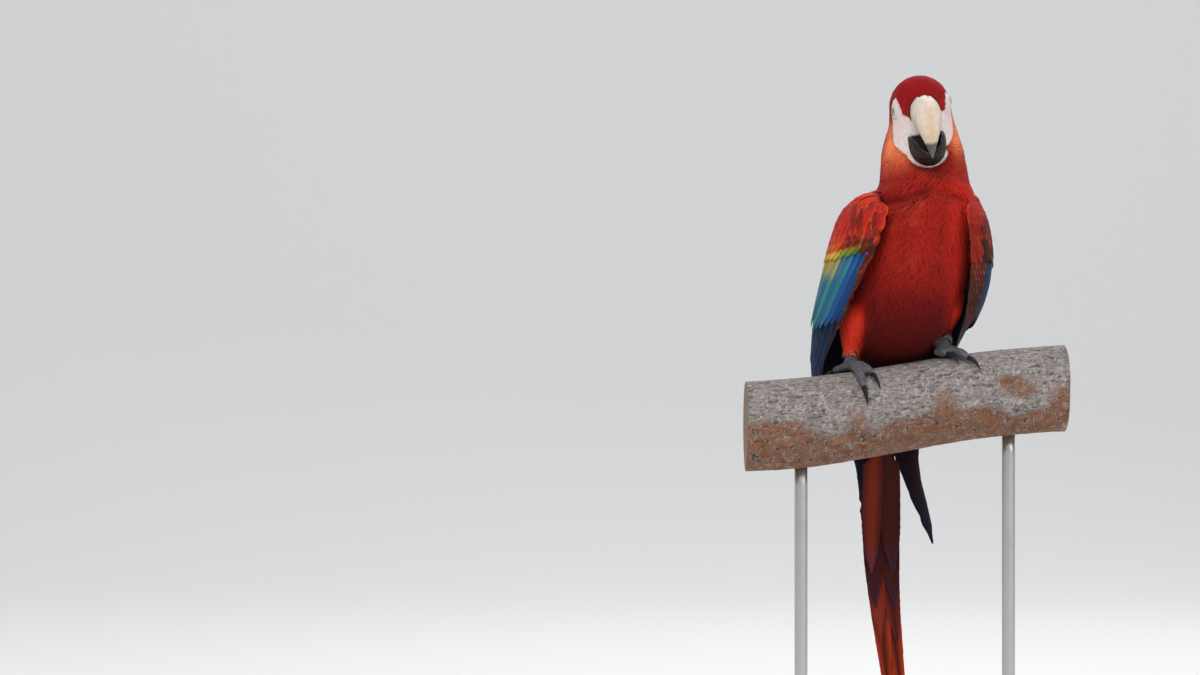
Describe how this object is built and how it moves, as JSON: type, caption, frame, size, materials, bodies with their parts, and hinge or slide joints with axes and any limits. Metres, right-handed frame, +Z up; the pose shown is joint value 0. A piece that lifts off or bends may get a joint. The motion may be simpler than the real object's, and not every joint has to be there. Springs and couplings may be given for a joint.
{
  "type": "scarlet macaw on a perch, museum model",
  "caption": "Life-size still model of a perched scarlet macaw, wings folded and long tail hanging, on a short cut length of branch held by two rods over a round base.",
  "frame": {"origin": "middle of the round base's underside, which is the middle of the bounding box's bottom", "axes": "+Z up along the rods, -Y the way the bird faces, +X to the bird's left, along the branch's rise"},
  "size_m": [0.36, 0.36, 0.8507],
  "materials": {
    "plumage": "soft overlapping contour feathers, scarlet",
    "covert_feathers": "small wing coverts, scarlet, then yellow and green",
    "flight_feathers": "long wing feathers, blue above and dusky red below",
    "tail_feathers": "long narrow tail feathers, scarlet",
    "ivory_horn": "ivory bill horn, satin, dark at the tip and edges",
    "black_horn": "black horn, satin",
    "eye": "wet eye with a pale yellow iris",
    "foot_skin": "dark grey scaly skin",
    "band_metal": "plain polished ring",
    "bark": "weathered bark over bare worm-tracked wood",
    "stand_paint": "dark satin paint",
    "stand_steel": "brushed steel"
  },
  "bodies": {
    "root": {"head": "plumage", "neck": "plumage", "trunk": "plumage", "tail_base": "plumage", "thigh_right": "plumage", "thigh_left": "plumage", "bill_upper": "ivory_horn", "bill_lower": "black_horn", "eye_right": "eye", "eye_left": "eye", "wing_right_shoulder": "covert_feathers", "wing_right_secondaries": "flight_feathers", "wing_right_primaries": "flight_feathers", "wing_left_shoulder": "covert_feathers", "wing_left_secondaries": "flight_feathers", "wing_left_primaries": "flight_feathers", "tail_feather_right_1": "tail_feathers", "tail_feather_right_2": "tail_feathers", "tail_feather_right_3": "tail_feathers", "tail_feather_right_4": "tail_feathers", "tail_feather_right_5": "tail_feathers", "tail_feather_right_6": "tail_feathers", "tail_feather_left_1": "tail_feathers", "tail_feather_left_2": "tail_feathers", "tail_feather_left_3": "tail_feathers", "tail_feather_left_4": "tail_feathers", "tail_feather_left_5": "tail_feathers", "tail_feather_left_6": "tail_feathers", "foot_right": "foot_skin", "foot_left": "foot_skin", "claw_right_front_inner": "black_horn", "claw_right_front_outer": "black_horn", "claw_right_back_inner": "black_horn", "claw_right_back_outer": "black_horn", "claw_left_front_inner": "black_horn", "claw_left_front_outer": "black_horn", "claw_left_back_inner": "black_horn", "claw_left_back_outer": "black_horn", "leg_band": "band_metal", "perch_branch": "bark", "stand_base": "stand_paint", "stand_rod_right": "stand_steel", "stand_rod_left": "stand_steel"}
  },
  "joints": []
}
